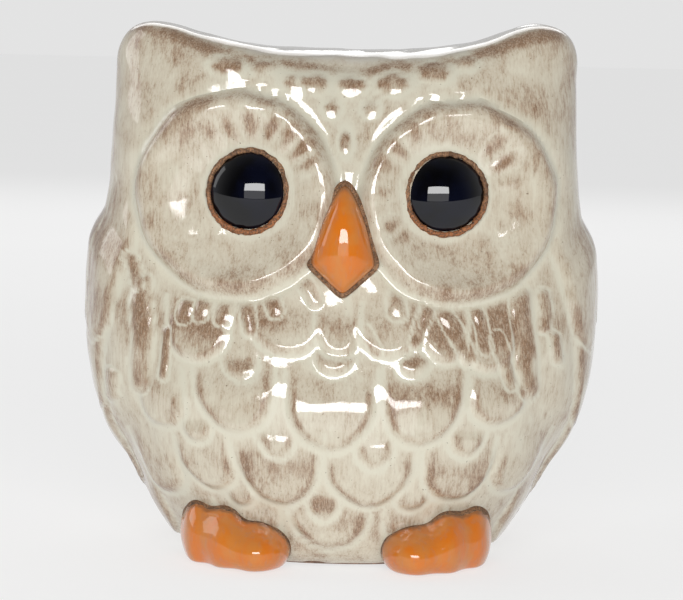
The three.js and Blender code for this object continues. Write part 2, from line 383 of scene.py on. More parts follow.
# Feathers of the belly in rows from the base up: (middle x, half width, bottom z, top z, rim, veil)
BELLY = [
    (-24, 8, 7, 19, 0.5, 0.1), (-2, 10.5, 6.5, 19, 0.8, 0.15), (21, 7.5, 7, 19, 0.6, 0.1),
    (-27, 3.9, 18.3, 24.5, 0.8, 0.1), (-3.5, 3.9, 15.4, 22.5, 0.7, 0.7), (21, 4.5, 18, 25, 0.9, 0.1),
    (-51, 6, 19, 36, 0.4, 0.1), (-37, 7.8, 22.5, 39, 0.7, 0.1), (-16.5, 11.5, 19.2, 39, 0.8, 0.35),
    (9, 12, 19, 39, 0.9, 0.05), (34, 10, 20.6, 39, 1, 0.3), (51, 7, 22, 39, 0.5, 0.1),
    (-40, 4.1, 36.3, 43, 0.6, 0.1), (-17.5, 5.2, 33.5, 41, 0.7, 0.1), (10.5, 5, 31, 40, 0.8, 0.05),
    (36, 4.6, 33.8, 42, 0.8, 0.05),
    (-51, 6.5, 39, 57, 0.4, 0.2), (-29.5, 11, 39.6, 60, 0.75, 0.15), (-2.2, 12.2, 35.3, 58, 0.9, 0.15),
    (23.5, 11, 37, 59, 1, 0.35), (45, 8.5, 42, 59, 0.8, 0.3),
    (-28, 4.6, 54.6, 61, 0.5, 0.3), (-2, 5.5, 56, 64, 0.5, 0.4), (20.5, 4.5, 56, 63, 0.5, 0.5),
    (-40.5, 8.5, 58.3, 76, 0.6, 0.25), (-15, 12, 61.2, 77, 0.5, 0.15), (13, 10.5, 61.2, 79, 0.6, 0.25),
    (42, 8, 57, 77, 0.8, 0.55), (29, 6, 60, 76, 0.5, 0.6), (-0.8, 5.8, 61.6, 76, 0.3, 0.3),
]
# Narrow drops under the discs and down the flanks: (start, end, radius, wear)
DROPS = [
    ((-57, 79), (-57, 51), 3.2, 0.8), ((-49.5, 66), (-50, 54), 1.4, 1), ((-44, 73.5), (-44.5, 71), 2.6, 0.9),
    ((-39, 75), (-39.5, 72), 2.4, 0.9), ((-32.5, 76), (-33, 71), 2.2, 0.8), ((-27, 76), (-25.5, 68), 2, 0.7),
    ((-20.5, 78), (-18.5, 73.5), 2.2, 0.8), ((-10.5, 81), (-7.5, 76.5), 2.2, 0.6),
    ((-61, 86), (-58.5, 79), 2, 0.7), ((-66, 52), (-66, 46), 2, 0.5),
    ((51, 78), (54, 52), 3.3, 1), ((58, 78), (58.5, 69), 1.9, 0.8), ((44, 67), (48.5, 54), 2, 0.8),
    ((38.5, 74), (41, 64), 1.9, 0.9), ((29, 74.5), (36, 61), 2.2, 0.8), ((24.5, 76), (21, 66), 2, 0.7),
    ((15.5, 78), (16, 74), 2.4, 0.8), ((7, 69), (9.5, 63), 1.6, 0.6), ((62, 66), (62.5, 60), 1.6, 0.8),
]
# Raised ovals across the forehead and between the discs: (middle, half sizes, wear)
FOREHEAD = [
    ((-34, 142), (4.8, 2.5), 0.8), ((-14, 137.6), (4.5, 2.6), 0.8), ((-8.8, 138.2), (4.2, 2.6), 0.8),
    ((1.5, 138), (4.6, 2.6), 0.8), ((13, 138), (4.9, 3), 0.8), ((25, 141.3), (5, 2.9), 0.8),
    ((34.2, 144.3), (2.8, 2), 0.7), ((-24, 141.5), (4, 1.8), 0.45), ((-4, 131), (2.5, 2.4), 0.8),
    ((7, 131), (2.2, 2), 0.3), ((0.2, 121.5), (1.7, 3.4), 0.6),
]
# The feather disc round each eye
DISCS = {
    1: {"middle": (33, 105), "crest": 25, "groove": 29.3},
    -1: {"middle": (-31, 106), "crest": 25.4, "groove": 30},
}
EYES = {1: (29, 107.4), -1: (-27.3, 107)}
EYE_RADIUS = 10.9
# Petals inside each disc: (degrees from straight up towards the beak, wear)
PETALS = {
    -1: [(-68, 0.25), (-52, 0.3), (-35, 0.55), (-17.5, 0.85), (1, 1), (19, 1), (37, 0.7), (53, 1),
         (66, 0.9), (84, 0.4), (200, 0.2), (218, 0.3), (236, 0.35), (150, 0.3), (168, 0.2)],
    1: [(-20, 0.3), (-4, 0.3), (13, 0.35), (31, 0.5), (50, 0.9), (66, 0.4), (91, 0.5), (119, 0.85),
        (136, 0.5), (-45, 0.8), (-62, 0.9), (-80, 0.4), (200, 0.3), (220, 0.3), (240, 0.35)],
}
# Long feathers of the folded wings: (bottom z, top z, first and last turn, count, sweep), in degrees
WING_TIERS = [
    (6, 26, 68, 126, 5, 0), (16, 76, 66, 106, 4, 22), (42, 92, 62, 108, 4, 18), (66, 108, 60, 110, 4, 12),
]
# Shorter feathers of the back: (bottom z, top z, turn from the middle of the back, count)
BACK_ROWS = [(6, 28, 46, 5), (22, 49, 36, 4), (42, 69, 46, 5), (62, 89, 36, 4), (81, 107, 46, 5)]


def lay_feathers(relief):
    chance = np.random.default_rng(5)
    for bottom, top, spread, count in BACK_ROWS:
        half_turn = math.radians(spread / (count - 1)) * 1.04
        for turn in np.linspace(180 - spread, 180 + spread, count):
            place = math.radians(turn + chance.uniform(-1, 1))
            low = bottom + chance.uniform(-1.5, 1.5)
            rim, veil = chance.uniform(0.3, 0.8), chance.uniform(0, 0.35)
            wide = half_turn * chance.uniform(0.94, 1.06)
            relief.feather(place, wide, 12, low, top, 1.5, rim, veil, 0.9)
    for bottom, top, first, last, count, sweep in WING_TIERS:
        half_turn = math.radians((last - first) / (count - 1)) * 0.66
        for side in (1, -1):
            for turn in np.linspace(last, first, count):
                place = side * math.radians(turn + chance.uniform(-1, 1))
                low = bottom + (turn - 90) * 0.12 + chance.uniform(-1.5, 1.5)
                rim, veil = chance.uniform(0.2, 0.7), chance.uniform(0, 0.35)
                relief.feather(
                    place, half_turn, 8, low, top, 1.6, rim, veil, 0.9, side * math.radians(sweep),
                )
    for middle, half, bottom, top, rim, veil in BELLY:
        centre_z = (bottom + top) / 2
        low, high = turn_of(middle - half, centre_z), turn_of(middle + half, centre_z)
        rise = 0.75 + 0.06 * half
        relief.feather((low + high) / 2, (high - low) / 2, half, bottom, top, rise, rim, veil)
    for start, end, radius, worn in DROPS:
        relief.drop(start, end, radius, 0.35 + 0.25 * radius, 0.75 * worn)
    for middle, half, worn in FOREHEAD:
        relief.oval(middle, half, 0.3 + 0.25 * min(half), 0.8 * worn)


EYE_SINK = 2.5  # how deep the eyes are set below the plain form
BROW_HOLLOW = 2.2  # depth of the hollow between the discs
LEFT_EAR_RAISE = 1.4  # how much higher the left ear stands
disc_shape = profile([
    (0, -EYE_SINK), (8, -EYE_SINK), (12, -2.2), (16, -1.2), (20, 0.4), (24, 2.3), (25.6, 2.55), (27.3, 1.5),
    (29.6, -0.75), (31.3, -0.3), (33.5, 0),
])


def lay_discs(relief):
    """The dished feather discs, their crests, petals and the grooves round them."""
    for side, disc in DISCS.items():
        away = np.hypot(relief.x - disc["middle"][0], relief.z - disc["middle"][1])
        place = np.flatnonzero(relief.front & (away < 34) & (relief.x * side > -3))
        out = away[place]
        crest, groove = disc["crest"], disc["groove"]
        scaled = np.interp(out, [0, crest, groove, 34], [0, 25.2, 29.6, 34])
        blend = smooth_step(scaled, 29.2, 32.5)
        relief.height[place] = disc_shape(scaled) + relief.height[place] * blend
        relief.worn[place] *= blend
        relief.pool[place] *= blend
        band = smooth_step(out, crest - 2, crest + 0.5) * (1 - smooth_step(out, groove - 1.6, groove - 0.4))
        relief.worn[place] += 0.36 * band + 0.2 * (1 - smooth_step(out, crest - 2, crest))
        relief.pool[place] += 0.8 * bell(out - groove, 1.5)
        relief.worn[place] *= 1 - 0.7 * bell(out - groove, 1.2)
        lay_petals(relief, side)


def lay_petals(relief, side):
    middle = EYES[side]
    dx, dz = (relief.x - middle[0]) * -side, relief.z - middle[1]
    out = np.hypot(dx, dz)
    place = np.flatnonzero(relief.front & (out < 27) & (relief.x * side > 0))
    out = out[place]
    angle = np.degrees(np.arctan2(dx[place], dz[place]))
    ring = bell(out - 12.9, 1.3)
    relief.pool[place] = np.maximum(relief.pool[place], 0.8 * ring)
    relief.worn[place] *= 1 - 0.8 * ring
    for turn, worn in PETALS[side]:
        off = np.radians((angle - turn + 180) % 360 - 180) * out
        long = (out - 18.4) / 5.2
        wide = off / (0.135 * out)
        radius = np.sqrt(long ** 2 + wide ** 2)
        inside = np.where(radius < 1, 1 - radius, 0)
        relief.height[place] += 0.22 * smooth_step(inside, 0, 0.7) * worn
        relief.worn[place] = np.maximum(relief.worn[place], 0.75 * worn * smooth_step(inside, 0, 0.8))
        line = bell((radius - 1.15) * 2.2, 0.45) * (out > 13) * worn
        relief.pool[place] = np.maximum(relief.pool[place], 0.6 * line)


face_ridge = profile([(0, 143.5), (0.27, 143.5), (0.5, 147), (0.7, 151.5), (0.85, 154)])


def lay_ground(relief):
    """The broad browning of the glaze before any feather: on the ears and chest, and darker towards the
    sides and the base.
    """
    x, z = np.abs(relief.x), relief.z
    ear = smooth_step(z, 118, 132) * smooth_step(x, 26, 44)
    chest = bell(z - 70, 10) * smooth_step(x, 6, 22)
    # Darker towards the sides and towards the base
    side = smooth_step(np.abs(relief.turn), 0.8, 1.3) * 0.26
    low = smooth_step(z, 40, 12) * 0.2
    relief.ground += np.maximum(np.maximum(0.22 * ear, 0.34 * chest), side) + 0.2 + low
    relief.ground += 0.08 * smooth_step(np.abs(z - 128), 14, 4) * relief.front


def lay_crown(relief):
    """The brown line where the face turns over into the smooth crown."""
    up = relief.z - face_ridge(np.abs(relief.x) / (WIDTH / 2))
    line = bell(up + 0.5, 1.6) * relief.front * smooth_step(np.abs(relief.x), 0, 12)
    relief.worn = np.maximum(relief.worn, 0.75 * line)
    # The crown's mask: it lessens the wear here, and the glaze paints the crown grey with it as painted
    # shade on the top
    crown = smooth_step(up, 0.5, 3.5)
    relief.worn *= 1 - 0.75 * crown
    relief.ground *= 1 - 0.75 * crown
    return crown


def slot_distance(x, z):
    """Distance outside the slot's outline, seen along Y."""
    half = (SLOT_LENGTH - SLOT_WIDTH) / 2
    return np.hypot(np.maximum(np.abs(x) - half, 0), z - SLOT_HEIGHT) - SLOT_WIDTH / 2


def lip_drop(distance):
    """How far the skin rounds down into the slot."""
    short = np.clip(SLOT_LIP - distance, 0, SLOT_LIP)
    return SLOT_LIP - np.sqrt(SLOT_LIP ** 2 - short ** 2)


# ---------------------------------------------------------------------------- the glazed shell

def plain_skin():
    """The closed outer skin without relief, in millimetres, with finer cells along the slot's lip."""
    shape = even_box(SKIN_CELLS)
    rough = push_to_skin(shape_points(shape))
    from_lip = np.abs(slot_distance(rough[:, 0], rough[:, 2]) - SLOT_LIP / 3)
    near = (rough[:, 1] > 0) & (from_lip < LIP_BAND)
    shape.edges.ensure_lookup_table()
    fine = [e for e in shape.edges if near[e.verts[0].index] and near[e.verts[1].index]]
    bmesh.ops.subdivide_edges(shape, edges=fine, cuts=2, use_grid_fill=True)
    mesh = finish_mesh(shape, "body_skin")
    set_points(mesh, push_to_skin(mesh_points(mesh)))
    return mesh


def lay_slot(relief, points):
    """Clears the feathers round the slot, rounds its lip and wears the lip's glaze."""
    back = points[:, 1] > 0
    slot = slot_distance(points[:, 0], points[:, 2])
    relief.height *= 1 - back * smooth_step(slot, 9, 4)
    relief.height -= np.where(back, lip_drop(slot), 0)
    relief.worn = np.maximum(relief.worn, 0.8 * back * bell(slot - SLOT_LIP / 3, 0.8))


def lay_unevenness(relief, points, crown):
    """Fades the relief out at the base, then waves the skin as hand finishing leaves it."""
    x, y, z = points.T
    off_base = smooth_step(z, 0.3, 5)
    relief.height *= off_base
    relief.height += (0.24 * ripple(points, 26, 3) + 0.11 * ripple(points, 10, 4)) * off_base
    relief.height += LEFT_EAR_RAISE * smooth_step(z, 138, 152) * smooth_step(x, 35, 55)
    between = smooth_step(np.abs(x), 16, 3) * (y < 0)
    relief.height -= BROW_HOLLOW * between * smooth_step(z, 108, 134) * (1 - crown)


def owl_skin():
    """The closed outer skin with all its relief, in millimetres, and its wear as attributes."""
    mesh = plain_skin()
    points = mesh_points(mesh)
    normals = mesh_normals(mesh)

    relief = Relief(points)
    lay_ground(relief)
    relief.ground += 0.13 * ripple(points, 15, 9)
    lay_feathers(relief)
    lay_discs(relief)
    crown = lay_crown(relief)
    lay_slot(relief, points)
    lay_unevenness(relief, points, crown)

    set_points(mesh, points + normals * relief.height[:, None])
    worn = relief.worn + relief.ground * (1 - 0.6 * np.clip(relief.pool, 0, 1))
    set_attribute(mesh, "worn", np.clip(worn, 0, 1))
    set_attribute(mesh, "pool", np.clip(relief.pool, 0, 1))
    set_attribute(mesh, "crown", crown)
    return mesh


def upright(radius, low, high, sides=96):
    shape = bmesh.new()
    bmesh.ops.create_cone(
        shape, cap_ends=True, segments=sides, radius1=radius, radius2=radius, depth=high - low,
        matrix=Matrix.Translation((0, 0, (low + high) / 2)),
    )
    return finish_mesh(shape, "round_cut")


def slot_cut():
    """A long rounded bar, lying along Y through the back wall."""
    shape = bmesh.new()
    half = (SLOT_LENGTH - SLOT_WIDTH) / 2
    lie = Matrix.Translation((0, 0, SLOT_HEIGHT)) @ Matrix.Rotation(math.pi / 2, 4, "X")
    bmesh.ops.create_circle(shape, cap_ends=True, segments=48, radius=SLOT_WIDTH / 2)
    for vert in shape.verts:
        vert.co.x += math.copysign(half, vert.co.x)
    bmesh.ops.transform(shape, matrix=lie, verts=shape.verts)
    sweep = bmesh.ops.extrude_face_region(shape, geom=shape.faces[:])
    moved = [item for item in sweep["geom"] if isinstance(item, bmesh.types.BMVert)]
    bmesh.ops.translate(shape, vec=(0, DEPTH, 0), verts=moved)
    face_outwards(shape)
    return finish_mesh(shape, "slot_cut")


def cavity_cut():
    shape = even_box(CAVITY_CELLS)
    mesh = finish_mesh(shape, "cavity_cut")
    set_points(mesh, push_to_skin(mesh_points(mesh), -WALL, RECESS_DEPTH))
    return mesh


def carve(mesh, cuts):
    """The mesh with the cuts taken out of it."""
    block = bpy.data.objects.new("carving", mesh)
    bpy.context.scene.collection.objects.link(block)
    tools = []
    for cut in cuts:
        tool = bpy.data.objects.new("tool", cut)
        bpy.context.scene.collection.objects.link(tool)
        tools.append(tool)
        taken = block.modifiers.new("cut", "BOOLEAN")
        taken.operation = "DIFFERENCE"
        taken.solver = "MANIFOLD"
        taken.object = tool
    bpy.context.view_layer.update()
    graph = bpy.context.evaluated_depsgraph_get()
    carved = bpy.data.meshes.new_from_object(block.evaluated_get(graph))
    for thing in [block, *tools]:
        bpy.data.objects.remove(thing)
    return carved


def body_shell(material):
    cuts = [
        cavity_cut(),
        upright(RECESS_RADIUS, -1, RECESS_DEPTH),
        upright(HOLE_RADIUS, -1, RECESS_DEPTH + 2 * WALL),
        slot_cut(),
    ]
    mesh = carve(owl_skin(), cuts)
    points = mesh_points(mesh)
    deep = -skin_distance(*points.T)
    inner = smooth_step(deep, 3.4, 4.2)
    foot_ring = 1 - smooth_step(points[:, 2] + 0.4 * ripple(points, 7, 8), 0.7, 1.6)
    in_recess = (np.hypot(points[:, 0], points[:, 1]) < RECESS_RADIUS + 1) * (points[:, 2] < 5)
    inner = np.maximum(inner, in_recess)
    set_attribute(mesh, "clay", np.clip(np.maximum(inner, foot_ring), 0, 1))
    set_points(mesh, points * MM)
    piece = show(mesh, "owl_shell", material, "owl")
    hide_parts("body_shell")
    return piece


# ------------------------------------------------------------------------- the applied pieces

def spun(outline, steps):
    """A shape turned about Z from an outline of (radius, height) points on the +X side."""
    shape = bmesh.new()
    verts = [shape.verts.new((radius, 0, height)) for radius, height in outline]
    edges = [shape.edges.new(pair) for pair in zip(verts, verts[1:])]
    bmesh.ops.spin(
        shape, geom=verts + edges, cent=(0, 0, 0), axis=(0, 0, 1), angle=2 * math.pi, steps=steps,
        use_merge=True,
    )
    bmesh.ops.remove_doubles(shape, verts=shape.verts, dist=1e-5)
    face_outwards(shape)
    return shape


EYE_DOME = 15.5  # radius of the glass-smooth dome
EYE_SEAT = 2.5  # how deep the eye goes on below its rim
RING_HALF = (0.75, 0.85)  # half the width and half the height of the clay ring's section


def eye_frame(side):
    """Turns an eye's own axes, +Z out of the face, into place."""
    x, z = EYES[side]
    step = 6
    back = front_of([x - step, x + step, x, x], [z, z, z - step, z + step])
    out = Vector(((back[1] - back[0]) / (2 * step), -1, (back[3] - back[2]) / (2 * step))).normalized()
    depth = float(front_of(x, z)) + EYE_SINK
    aim = out.to_track_quat("Z", "Y").to_matrix().to_4x4()
    return Matrix.Translation((x, depth, z)) @ aim


def eye(side, name, node, glaze, clay):
    """A glossy dome, and the raised ring of bare clay that it is set in."""
    rise = EYE_DOME - math.sqrt(EYE_DOME ** 2 - EYE_RADIUS ** 2)
    turns = np.linspace(0, math.asin((EYE_RADIUS - 0.5) / EYE_DOME), 30)
    cap = [(EYE_DOME * math.sin(t), EYE_DOME * math.cos(t) - EYE_DOME + rise) for t in turns]
    rim = [(EYE_RADIUS - 0.12, 0.05), (EYE_RADIUS, -0.4), (EYE_RADIUS, -EYE_SEAT), (0, -EYE_SEAT)]
    shape = spun(cap + rim, 96)
    place_eye(shape, side, 0)
    piece = show(finish_mesh(shape, name), name, glaze, "owl")
    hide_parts(node)

    section = [
        (EYE_RADIUS + 0.4 + RING_HALF[0] * math.cos(t), 0.1 + RING_HALF[1] * math.sin(t))
        for t in np.linspace(0, 2 * math.pi, 14)
    ]
    ring = spun(section, 120)
    for vert in ring.verts:
        vert.co.xy *= 1 + 0.04 * max(-vert.co.y, 0) / EYE_RADIUS
    low = [-vert.co.y / EYE_RADIUS for vert in ring.verts]
    place_eye(ring, side, 1)
    mesh = finish_mesh(ring, name + "_ring")
    set_attribute(mesh, "warm", smooth_step(np.array(low), -0.2, 0.9))
    show(mesh, name + "_ring", clay, "owl")


def place_eye(shape, side, rough):
    """Moves an eye's piece into place, a little out of round as by hand."""
    points = shape_points(shape)
    angle = np.arctan2(points[:, 1], points[:, 0])
    wave = 0.012 * np.sin(2 * angle + side) + 0.008 * np.sin(3 * angle + 2 * side)
    points[:, :2] *= (1 + wave)[:, None]
    if rough:
        lumps = (ripple(points, 3.4, 40 + side) + ripple(points, 1.6, 45 + side))[:, None]
        away = points[:, :2] / np.maximum(np.linalg.norm(points[:, :2], axis=1), 1e-6)[:, None]
        points[:, :2] += 0.17 * lumps * away
        points[:, 2] += 0.3 * ripple(points, 4.1, 50 + side)
    move_points(shape, points)
    bmesh.ops.transform(shape, matrix=Matrix.Scale(MM, 4) @ eye_frame(side), verts=shape.verts)


# The beak's kite outline, round its middle
BEAK_MIDDLE = (0.2, 89)
BEAK_SIDES = [  # direction that each side faces, in degrees from +X towards +Z, and how far out
    (13.5, 8.6), (166.5, 8.7), (27, 10.5), (153, 10.5), (-47.7, 7.9), (-132.3, 7.9), (90, 21), (-90, 11),
]
# The rounder outline that its middle swells to
BEAK_ACROSS = 9
BEAK_ABOVE = 20.5
BEAK_BELOW = 12
BEAK_RISE = 8.2
BEAK_SEAT = 3  # how deep it goes on below the skin
BED_GROW = 1.1  # how far the bed shows round the beak
BED_RISE = 1.6
BEAK_LEAN = 0.13  # how much thicker it gets for each millimetre further up


def beak_outline(angle, grow=0.0):
    """Distance from the middle of the beak to its outline in each direction."""
    reaches = []
    for facing, far in BEAK_SIDES:
        lean = np.cos(angle - math.radians(facing))
        reaches.append((far + grow) / np.maximum(lean, 1e-3))
    inverse = sum((1 / np.array(reaches)) ** 14)
    return inverse ** (-1 / 14)


def kite(grow, rise, lean, swell_of):
    """A closed kite on the face, its points, and each point's share of the way to its outline."""
    shape = bmesh.new()
    bmesh.ops.create_uvsphere(shape, u_segments=112, v_segments=48, radius=1)
    points = shape_points(shape)
    share = np.minimum(np.hypot(points[:, 0], points[:, 1]), 1)
    angle = np.arctan2(points[:, 1], points[:, 0])
    tall = np.where(points[:, 1] > 0, BEAK_ABOVE, BEAK_BELOW)
    rounded = 1 / np.hypot(np.cos(angle) / BEAK_ACROSS, np.sin(angle) / tall)
    cornered = share ** 1.6
    out = (rounded * (1 - cornered) + beak_outline(angle, grow) * cornered) * share
    x, z = BEAK_MIDDLE[0] + out * np.cos(angle), BEAK_MIDDLE[1] + out * np.sin(angle)
    thick = np.where(points[:, 2] > 0, rise + lean * (z - BEAK_MIDDLE[1]), -BEAK_SEAT)
    y = front_of(x, z) - 0.6 - thick * swell_of(share)
    return shape, np.stack([x, y, z], axis=1), share


def kite_mesh(shape, points, name):
    move_points(shape, points)
    face_outwards(shape)
    to_frame(shape)
    return finish_mesh(shape, name)


def beak(glaze, clay):
    """The glazed beak, and the bed of bare clay that shows round it."""
    shape, points, share = kite(0, BEAK_RISE, BEAK_LEAN, lambda share: (1 - share ** 2) ** 0.62)
    mesh = kite_mesh(shape, points, "beak")
    set_attribute(mesh, "worn", smooth_step(share, 0.9, 0.98) * 0.8)
    piece = show(mesh, "beak_glazed", glaze, "owl")
    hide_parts("beak")

    shape, points, _ = kite(BED_GROW, BED_RISE, 0, lambda share: np.minimum(1, 3 * (1 - share)) ** 0.5)
    points[:, 1] += 0.2 * ripple(points, 3.1, 61)
    show(kite_mesh(shape, points, "beak_bed"), "beak_bed", clay, "owl")


# Toes from the inside of the foot out: (middle x, half width, top z, how far forward)
TOES = [(22.5, 10, 14.3, 0), (31.2, 7.4, 18.6, 0.6), (38.6, 6.4, 20.5, -0.8)]
TOE_REACH = 18
TOE_BELLY = 0.42
TOE_BLEND = 2.6
HEEL_INSET = 2
FOOT_CENTRE = (29.5, 6)  # x and z of the point that its surface is found from
FOOT_CELLS = (70, 60, 50)


def foot(side, name, node, glaze):
    """Three toes that run together under thick glaze, with bare clay where they meet the owl."""
    toes = []
    for middle, half, top, forward in TOES:
        y = float(front_of(middle, BASE_ROUND)) + HEEL_INSET - forward
        toes.append(((middle, y, TOE_BELLY * top), (half, TOE_REACH, (1 - TOE_BELLY) * top)))

    def distance(x, y, z):
        total = None
        for middle, half in toes:
            ring = np.sqrt(sum(((p - m) / h) ** 2 for p, m, h in zip((x, y, z), middle, half)))
            one = (ring - 1) * min(half)
            total = one if total is None else soft_min(total, one, TOE_BLEND)
        return soft_max(total, 0.02 - z, 1.6)

    shape = even_box(FOOT_CELLS)
    directions = shape_points(shape)
    directions /= np.linalg.norm(directions, axis=1)[:, None]
    directions *= (1.3, 1, 0.8)
    directions /= np.linalg.norm(directions, axis=1)[:, None]
    start = np.array([FOOT_CENTRE[0], toes[1][0][1], FOOT_CENTRE[1]])
    points = start + directions * reach(distance, start, directions, 60)[:, None]
    points += 0.12 * ripple(points, 9, 70 + side)[:, None] * directions
    points[:, 2] = np.maximum(points[:, 2], 0)
    away = skin_distance(*points.T)
    points[:, 0] *= side
    move_points(shape, points * MM)
    face_outwards(shape)
    mesh = finish_mesh(shape, name)
    edge = away + 0.5 * ripple(points, 5, 80 + side) + 0.3 * ripple(points, 1.7, 90)
    band = 1.5 + 0.06 * np.maximum(points[:, 2] - 8, 0)
    set_attribute(mesh, "clay", 1 - smooth_step(edge - band, -0.3, 0.3))
    set_attribute(mesh, "worn", 0.9 * bell(edge - band - 0.5, 0.8))
    piece = show(mesh, name, glaze, "owl")
    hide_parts(node)


STOPPER_GAP = 0.3
BAR_WIDTH = 4


def stopper(rubber):
    """A hollow ribbed bung with a bar across its recess to pull it by."""
    neck, flange = HOLE_RADIUS - STOPPER_GAP, HOLE_RADIUS + 4
    flange_top, flange_bottom = RECESS_DEPTH - STOPPER_GAP, RECESS_DEPTH - 2.3
    neck_top = RECESS_DEPTH + WALL + 1.5
    recess, recess_top = neck - 3.7, neck_top - 2.5
    rib = (neck_top - flange_top) / 4
    outline = [
        (0, neck_top), (neck - 2.0, neck_top), (neck - 1.2, neck_top - 0.8), (neck - 0.6, neck_top - rib),
        (neck, flange_top + 2 * rib), (neck - 0.6, flange_top + rib), (neck, flange_top + 0.2),
        (flange - 0.6, flange_top), (flange, flange_top - 0.5), (flange, flange_bottom + 0.5),
        (flange - 0.6, flange_bottom), (recess + 0.6, flange_bottom), (recess, flange_bottom + 0.6),
        (recess, recess_top - 0.6), (recess - 0.6, recess_top), (0, recess_top),
    ]
    shape = spun(outline, 120)
    bar_low, bar_high = flange_bottom + 0.3, recess_top + 1
    middle = Matrix.Translation((0, 0, (bar_low + bar_high) / 2))
    stretch = Matrix.Diagonal((2 * recess + 2.4, BAR_WIDTH, bar_high - bar_low, 1))
    bar = bmesh.ops.create_cube(shape, size=1, matrix=middle @ stretch)
    edges = {e for vert in bar["verts"] for e in vert.link_edges}
    long = [e for e in edges if abs(e.verts[0].co.x - e.verts[1].co.x) > 1]
    bmesh.ops.bevel(
        shape, geom=long, affect="EDGES", offset=0.8, segments=4, profile=0.5, material=-1,
    )
    to_frame(shape)
    mesh = finish_mesh(shape, "rubber_stopper")
    piece = show(mesh, "rubber_stopper", rubber, "bung", 30)
    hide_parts("stopper")


# --------------------------------------------------------------------------------- finishes

class Wire:
    """One output of a node. Sums on wires add Math nodes."""

    def __init__(self, nodes, socket):
        self.nodes = nodes
        self.socket = socket

    def math(self, operation, *values):
        inputs = dict(enumerate(values))
        return self.nodes.node("ShaderNodeMath", {"operation": operation}, inputs)

    def __add__(self, other):
        return self.math("ADD", self, other)

    __radd__ = __add__

    def __sub__(self, other):
        return self.math("SUBTRACT", self, other)

    def __rsub__(self, other):
        return self.math("SUBTRACT", other, self)

    def __mul__(self, other):
        return self.math("MULTIPLY", self, other)

    __rmul__ = __mul__

    def step(self, low, high):
        """From 0 to 1, smoothly, as the value goes from low to high."""
        return self.spread(low, high, 0.0, 1.0)

    def spread(self, low, high, first, last):
        """From first to last, smoothly, as the value goes from low to high."""
        inputs = {0: self, 1: low, 2: high, 3: first, 4: last}
        return self.nodes.node("ShaderNodeMapRange", {"interpolation_type": "SMOOTHSTEP"}, inputs)

    def held(self):
        return self.math("MINIMUM", self.math("MAXIMUM", self, 0.0), 1.0)


class Nodes:
    """The nodes of a material or of the room's light."""

    def __init__(self, owner):
        owner.use_nodes = True
        self.tree = owner.node_tree

    def feed(self, socket, value):
        if isinstance(value, Wire):
            self.tree.links.new(value.socket, socket)
        else:
            socket.default_value = value

    def node(self, kind, settings, inputs, output=0):
        made = self.tree.nodes.new(kind)
        for setting, value in settings.items():
            setattr(made, setting, value)
        for key, value in inputs.items():
            self.feed(made.inputs[key], value)
        return Wire(self, made.outputs[output])


class Finish(Nodes):
    """A material, with the patterns that its colours and bumps are made from."""

    def __init__(self, name):
        self.material = bpy.data.materials.new(name)
        super().__init__(self.material)
        self.shader = self.tree.nodes["Principled BSDF"]
        self.millimetres = self.node("ShaderNodeVectorMath", {"operation": "SCALE"}, {
            0: self.node("ShaderNodeTexCoord", {}, {}, "Object"), "Scale": 1 / MM,
        })

    def attribute(self, name):
        return self.node("ShaderNodeAttribute", {"attribute_name": name}, {}, "Fac")

    def noise(self, stretch, detail=2.0, rough=0.5, warp=0.0, shift=0.0):
        """Noise from 0 to 1 whose grains are about stretch millimetres along X, Y and Z."""
        place = self.node("ShaderNodeVectorMath", {"operation": "MULTIPLY"}, {
            0: self.millimetres, 1: [1 / size for size in stretch],
        })
        moved = {0: place, 1: (shift, shift, shift)}
        place = self.node("ShaderNodeVectorMath", {"operation": "ADD"}, moved)
        return self.node("ShaderNodeTexNoise", {}, {
            "Vector": place, "Scale": 1.0, "Detail": detail, "Roughness": rough, "Distortion": warp,
        })

    def mix(self, factor, first, second):
        """The first colour where the factor is 0, the second where it is 1."""
        return self.node("ShaderNodeMix", {"data_type": "RGBA"}, {0: factor, 6: first, 7: second}, 2)

    def bump(self, height, strength, depth, over=None):
        """Depth is in millimetres."""
        inputs = {"Height": height, "Strength": strength, "Distance": depth * MM}
        if over:
            inputs["Normal"] = over
        return self.node("ShaderNodeBump", {}, inputs)

    def set(self, **sockets):
        """Sets the shader's inputs, with _ for each space in their names."""
        for name, value in sockets.items():
            self.feed(self.shader.inputs[name.replace("_", " ")], value)
        return self.material


def colour(red, green, blue):
    """A colour from its everyday 0 to 255 values."""
    def linear(value):
        value /= 255
        return value / 12.92 if value <= 0.04045 else ((value + 0.055) / 1.055) ** 2.4
    return (linear(red), linear(green), linear(blue), 1.0)


def clay_tones(finish):
    """The colour of bare clay, and its grain."""
    grain = finish.noise((0.5, 0.5, 0.5), 4, 0.7)
    patch = finish.noise((3, 3, 3), 2)
    tone = finish.mix(patch.step(0.35, 0.65), colour(120, 84, 54), colour(158, 118, 84))
    tone = finish.mix(finish.attribute("warm") * 0.8, tone, colour(165, 100, 54))
    return finish.mix(grain.step(0.42, 0.62), tone, colour(70, 48, 32)), grain


